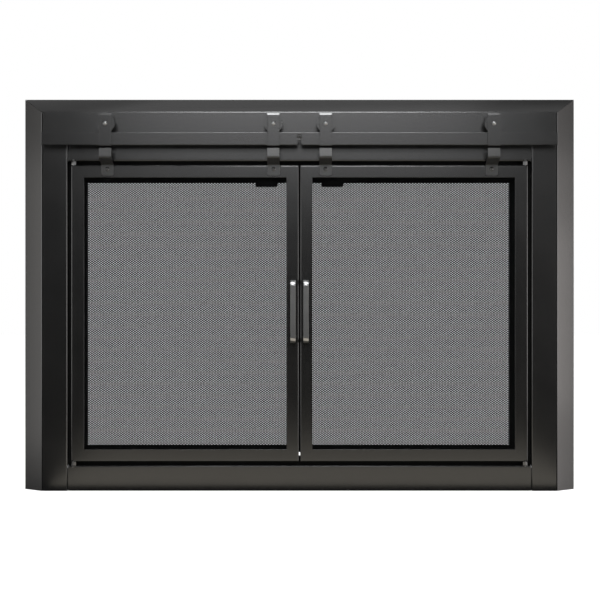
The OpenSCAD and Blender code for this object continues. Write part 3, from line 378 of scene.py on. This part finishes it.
def fine_mesh(work, low, high):
    """Crossing strands in two directions, inside a flat hem that is wider on the hinge side."""
    middle_x, middle_z = (low.x + high.x) / 2, (low.z + high.z) / 2
    middle_y = (low.y + high.y) / 2
    half_w = (high.x - low.x) / 2 - STRAND_INSET
    half_h = (high.z - low.z) / 2 - STRAND_INSET
    diagonal = math.hypot(MESH_RHOMB_W, MESH_RHOMB_H)
    pitch = MESH_RHOMB_W * MESH_RHOMB_H / diagonal
    reach = math.ceil(math.hypot(half_w, half_h) / pitch)
    for lean in (1, -1):
        direction = (MESH_RHOMB_W / diagonal, lean * MESH_RHOMB_H / diagonal)
        normal = (-direction[1], direction[0])
        for i in range(-reach, reach + 1):
            ends = clipped(i * pitch, direction, normal, half_w, half_h)
            if not ends:
                continue
            rings = []
            for along in ends:
                ring = []
                for k in range(STRAND_SIDES):
                    turn = 2 * math.pi * k / STRAND_SIDES
                    aside = i * pitch + STRAND_W / 2 * math.cos(turn)
                    ring.append((
                        middle_x + direction[0] * along + normal[0] * aside,
                        middle_y + STRAND_T / 2 * math.sin(turn),
                        middle_z + direction[1] * along + normal[1] * aside,
                    ))
                rings.append(ring)
            tube(work, rings)
    left_hem, right_hem = (OUTER_HEM, MESH_HEM) if middle_x < 0 else (MESH_HEM, OUTER_HEM)
    for side_low, side_high in (
        ((low.x, low.z), (high.x, low.z + MESH_HEM)),
        ((low.x, high.z - MESH_HEM), (high.x, high.z)),
        ((low.x, low.z + MESH_HEM), (low.x + left_hem, high.z - MESH_HEM)),
        ((high.x - right_hem, low.z + MESH_HEM), (high.x, high.z - MESH_HEM)),
    ):
        box_between(work, (side_low[0], low.y, side_low[1]), (side_high[0], high.y, side_high[1]))


def make_gate_meshes():
    for side in ("left", "right"):
        node = "gate_mesh_" + side
        low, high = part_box(node)
        add_piece(
            "fine_mesh_" + side, lambda work: fine_mesh(work, low, high),
            "mesh_steel", "gate_" + side, [node],
        )


# ---------------------------------------------------------------- grooves, welds and threads

BEAD_SIDES = 8

# Places on the right side, in metres. The left side mirrors them.
# Painted shade in the columns' shadow grooves: two corners of the dark strip's box
GROOVE_SHADE_LOW = Vector((0.5354, -0.0397, 0.0002))
GROOVE_SHADE_HIGH = Vector((0.5372, -0.0386, 0.7868))

MITRE_PATH = ((0.523, -0.0374, 0.7748), (0.5368, -0.0374, 0.7884), (0.5745, -0.0045, 0.8168))
MITRE_BEAD_R = 1.3 * MM

STOP_WELD_HEIGHTS = (("stop_weld_top", 0.65735), ("stop_weld_bottom", 0.07215))
STOP_WELD_XS = (0.4628, 0.4835)
STOP_WELD_Y = -0.0184
STOP_BEAD_R = 0.8 * MM

PLATE_STITCHES = (
    ((0.5265, 0.690), (0.5265, 0.722)), ((0.5265, 0.742), (0.5265, 0.770)),
    ((0.428, 0.7785), (0.460, 0.7785)), ((0.480, 0.7785), (0.512, 0.7785)),
)
PLATE_WELD_Y = -0.0372
PLATE_BEAD_R = 1.4 * MM

CLAMP_X, CLAMP_Y = 0.25, 0.05
THREAD_SPANS = ((0.7175, 0.7365), (0.7470, 0.7665))
THREAD_ROOT_R = 3.8 * MM
THREAD_CREST_R = 4.35 * MM
THREAD_PITCH = 1.25 * MM
THREAD_STEPS = 20

# Half widths of the ridge, as shares of the pitch
THREAD_ROOT_HALF = 0.42
THREAD_CREST_HALF = 0.08


def bead(work, points, radius):
    """Round bead of one thickness through a list of points."""
    rings = []
    for i, point in enumerate(points):
        ahead = (points[min(i + 1, len(points) - 1)] - points[max(i - 1, 0)]).normalized()
        across = ahead.cross(Vector((0, 1, 0))).normalized()
        rise = ahead.cross(across)
        rings.append([
            point + (across * math.cos(turn) + rise * math.sin(turn)) * radius
            for turn in (2 * math.pi * k / BEAD_SIDES for k in range(BEAD_SIDES))
        ])
    tube(work, rings)


def make_groove_shade():
    """Painted shade: a dull black strip laid in the shadow groove of each column, to darken the groove."""
    for label, side in SIDES:
        x0, x1 = sorted((side * GROOVE_SHADE_LOW.x, side * GROOVE_SHADE_HIGH.x))
        low, high = (x0, GROOVE_SHADE_LOW.y, GROOVE_SHADE_LOW.z), (x1, GROOVE_SHADE_HIGH.y, GROOVE_SHADE_HIGH.z)
        add_piece(
            "groove_shade_" + label, lambda work: box_between(work, low, high),
            "dark_steel", "surround_frame", finish="gate_paint",
        )


def make_mitre_welds():
    """Weld beads on the inside of the surround's mitres."""
    for label, side in SIDES:
        points = [Vector((side * x, y, z)) for x, y, z in MITRE_PATH]
        add_piece(
            "mitre_weld_" + label, lambda work: bead(work, points, MITRE_BEAD_R),
            "dark_steel", "surround_frame", finish="gate_paint",
        )


def make_stop_welds():
    """Tack welds where the stops beside the doors meet the upper and the lower stop."""
    for name, z in STOP_WELD_HEIGHTS:
        def build(work):
            for side in (-1, 1):
                bead(work, [Vector((side * x, STOP_WELD_Y, z)) for x in STOP_WELD_XS], STOP_BEAD_R)
        add_piece(name, build, "dark_steel", "surround_frame", finish="gate_paint")


def make_plate_welds():
    """Stitch welds between the corner plates and the folded sheet."""
    for label, side in SIDES:
        def build(work):
            for ends in PLATE_STITCHES:
                bead(work, [Vector((side * x, PLATE_WELD_Y, z)) for x, z in ends], PLATE_BEAD_R)
        add_piece("plate_weld_" + label, build, "dark_steel", "surround_frame")


def thread(work, x, y, low_z, high_z):
    """Helical ridge of a metric thread, as a closed band with a blunt crest."""
    section = (
        (THREAD_ROOT_R, -THREAD_ROOT_HALF), (THREAD_CREST_R, -THREAD_CREST_HALF),
        (THREAD_CREST_R, THREAD_CREST_HALF), (THREAD_ROOT_R, THREAD_ROOT_HALF),
    )
    rings = []
    count = int((high_z - low_z) / THREAD_PITCH * THREAD_STEPS)
    for i in range(count + 1):
        turn = 2 * math.pi * i / THREAD_STEPS
        z = low_z + THREAD_PITCH * i / THREAD_STEPS
        rings.append([
            (x + r * math.cos(turn), y + r * math.sin(turn), z + dz * THREAD_PITCH) for r, dz in section
        ])
    tube(work, rings)


def make_clamp_threads():
    """Threads of the two lintel clamp screws, below and above their nuts."""
    for label, side in SIDES:
        def build(work):
            for low_z, high_z in THREAD_SPANS:
                thread(work, side * CLAMP_X, CLAMP_Y, low_z, high_z)
        add_piece("clamp_thread_" + label, build, "zinc_steel", "surround_frame")


# ---------------------------------------------------------------- studio


def panel(name, centre, target, width, height, radiance, colour):
    """Soft box of a given brightness that faces a target and stays out of the camera's sight."""
    light = bpy.data.lights.new(name, "AREA")
    light.shape = "RECTANGLE"
    light.size, light.size_y = width, height
    light.energy = radiance * math.pi * width * height
    light.color = colour
    lamp = bpy.data.objects.new(name, light)
    lamp.location = centre
    aim = Vector(target) - Vector(centre)
    lamp.rotation_euler = aim.to_track_quat("-Z", "Y").to_euler()
    lamp.visible_camera = False
    lamp.visible_transmission = False
    bpy.context.scene.collection.objects.link(lamp)


WHITE = (1, 1, 1)
WARM = (1.0, 0.93, 0.80)
FAINT_WARM = (1.0, 0.945, 0.92)
FAINT_COOL = (0.98, 0.99, 1.0)
MASONRY = (1.0, 0.97, 0.94)

# Name, centre, point that it faces, width, height, radiance and colour
PANELS = (
    ("key_box", (0.03, -1.50, 2.70), (0.03, 0, 0.70), 1.10, 0.5, 15.0, FAINT_COOL),
    ("strip_box", (0.03, -3.38, 1.92), (0.03, 0, 1.92), 1.1, 0.36, 17.0, FAINT_COOL),
    ("front_box", (0.03, -3.40, 2.10), (0.03, 0, 2.10), 1.72, 2.20, 1.62, FAINT_COOL),
    ("far_right_card", (1.35, -3.30, 0.55), (1.35, 0, 0.55), 0.7, 0.9, 0.17, FAINT_WARM),
    ("top_box", (0.03, -0.72, 2.75), (0.03, -0.25, 0.80), 1.1, 0.36, 12.0, FAINT_COOL),
    ("low_card", (0.033, -0.51, 0.002), (0.033, -0.51, 1.0), 1.135, 0.79, 1.04, WARM),
    ("over_box", (0, 0.38, 2.30), (0, 0, 0.8), 1.3, 0.9, 0.33, WHITE),
    ("left_front_box", (-2.03, -1.59, 0.63), (-0.48, -0.04, 0.63), 1.5, 1.2, 2.0, FAINT_COOL),
    ("right_front_box", (2.03, -1.59, 0.63), (0.48, -0.04, 0.63), 1.5, 1.2, 2.0, FAINT_COOL),
)

# Steps of the side lights: lower end, upper end and radiance
LEFT_STEPS = ((-0.02, 1.25, 0.70), (-0.12, 0.80, 0.63))
RIGHT_STEPS = ((-0.30, 1.15, 1.05), (-0.15, 0.80, 0.98), (0.10, 0.60, 0.95))
SOFT_SIDE_X, SOFT_SIDE_STEP = 1.62, 0.01
SOFT_SIDE_Y = -0.51
SOFT_SIDE_DEPTH = 1.04


def soft_side(name, side, colour, steps):
    """Light from one side in overlapping steps, so it is brighter where they overlap."""
    for i, (low, high, radiance) in enumerate(steps):
        x = side * (SOFT_SIDE_X + SOFT_SIDE_STEP * i)
        middle = (low + high) / 2
        centre, target = (x, SOFT_SIDE_Y, middle), (0, SOFT_SIDE_Y, middle)
        panel(f"{name}_{i}", centre, target, SOFT_SIDE_DEPTH, high - low, radiance, colour)


def make_lamps():
    for row in PANELS:
        panel(*row)
    soft_side("left_box", -1, MASONRY, LEFT_STEPS)
    soft_side("right_box", 1, FAINT_WARM, RIGHT_STEPS)


def path_share(nodes, links, names):
    """1 where the ray is of any of the named kinds."""
    path = nodes.new("ShaderNodeLightPath")
    total = path.outputs[names[0]]
    for name in names[1:]:
        more = nodes.new("ShaderNodeMath")
        more.operation = "MAXIMUM"
        links.new(total, more.inputs[0])
        links.new(path.outputs[name], more.inputs[1])
        total = more.outputs["Value"]
    return total


FRONT_LIGHT = 0.025
BACK_LIGHT = 0.8
FADE_END = 0.40


def make_world():
    """White for the camera and through the glass. The room is bright behind the object."""
    world = bpy.data.worlds.new("studio")
    bpy.context.scene.world = world
    world.use_nodes = True
    nodes, links = world.node_tree.nodes, world.node_tree.links
    nodes.clear()
    output = nodes.new("ShaderNodeOutputWorld")
    white, room = nodes.new("ShaderNodeBackground"), nodes.new("ShaderNodeBackground")
    mix = nodes.new("ShaderNodeMixShader")
    white.inputs["Color"].default_value = (1, 1, 1, 1)
    split = nodes.new("ShaderNodeSeparateXYZ")
    links.new(nodes.new("ShaderNodeTexCoord").outputs["Generated"], split.inputs["Vector"])
    depth = nodes.new("ShaderNodeMapRange")
    depth.inputs["From Min"].default_value = 0.0
    depth.inputs["From Max"].default_value = FADE_END
    depth.inputs["To Min"].default_value = FRONT_LIGHT
    depth.inputs["To Max"].default_value = BACK_LIGHT
    depth.interpolation_type = "SMOOTHSTEP"
    links.new(split.outputs["Y"], depth.inputs["Value"])
    links.new(depth.outputs["Result"], room.inputs["Strength"])
    room.inputs["Color"].default_value = (1, 1, 1, 1)
    links.new(path_share(nodes, links, ["Is Camera Ray", "Is Transmission Ray"]), mix.inputs["Fac"])
    links.new(room.outputs["Background"], mix.inputs[1])
    links.new(white.outputs["Background"], mix.inputs[2])
    links.new(mix.outputs["Shader"], output.inputs["Surface"])


FLOOR_HALF = 14.0
FLOOR_Z = -0.0005
FLOOR_GLOW = 0.85


def make_floor():
    """Pale floor that glows for the camera, so it reads white and keeps a faint shadow.

    It is plain white through the glass.
    """
    s = Shader("pale_floor")
    s.set(Base_Color=(0.5, 0.5, 0.5, 1), Roughness=0.9, Specular_IOR_Level=0.1)
    s.principled.inputs["Emission Color"].default_value = (1, 1, 1, 1)
    seen = path_share(s.nodes, s.links, ["Is Camera Ray"])
    s.link(s.remap(seen, 0.0, FLOOR_GLOW, 0.0, 1.0), "Emission Strength")
    white, mix = s.nodes.new("ShaderNodeEmission"), s.nodes.new("ShaderNodeMixShader")
    s.links.new(path_share(s.nodes, s.links, ["Is Transmission Ray"]), mix.inputs[0])
    s.links.new(s.principled.outputs["BSDF"], mix.inputs[1])
    s.links.new(white.outputs["Emission"], mix.inputs[2])
    s.links.new(mix.outputs["Shader"], s.output.inputs["Surface"])
    mesh = bpy.data.meshes.new("floor")
    signs = ((-1, -1), (1, -1), (1, 1), (-1, 1))
    corners = [(FLOOR_HALF * x, FLOOR_HALF * y, FLOOR_Z) for x, y in signs]
    mesh.from_pydata(corners, [], [(0, 1, 2, 3)])
    mesh.materials.append(s.material)
    floor = bpy.data.objects.new("floor", mesh)
    bpy.context.scene.collection.objects.link(floor)
    floor.visible_glossy = False


make_camera()
finish_nodes()
make_gate_meshes()
make_groove_shade()
make_mitre_welds()
make_stop_welds()
make_plate_welds()
make_clamp_threads()
make_lamps()
make_world()
make_floor()
bpy.context.scene.view_settings.view_transform = "Standard"
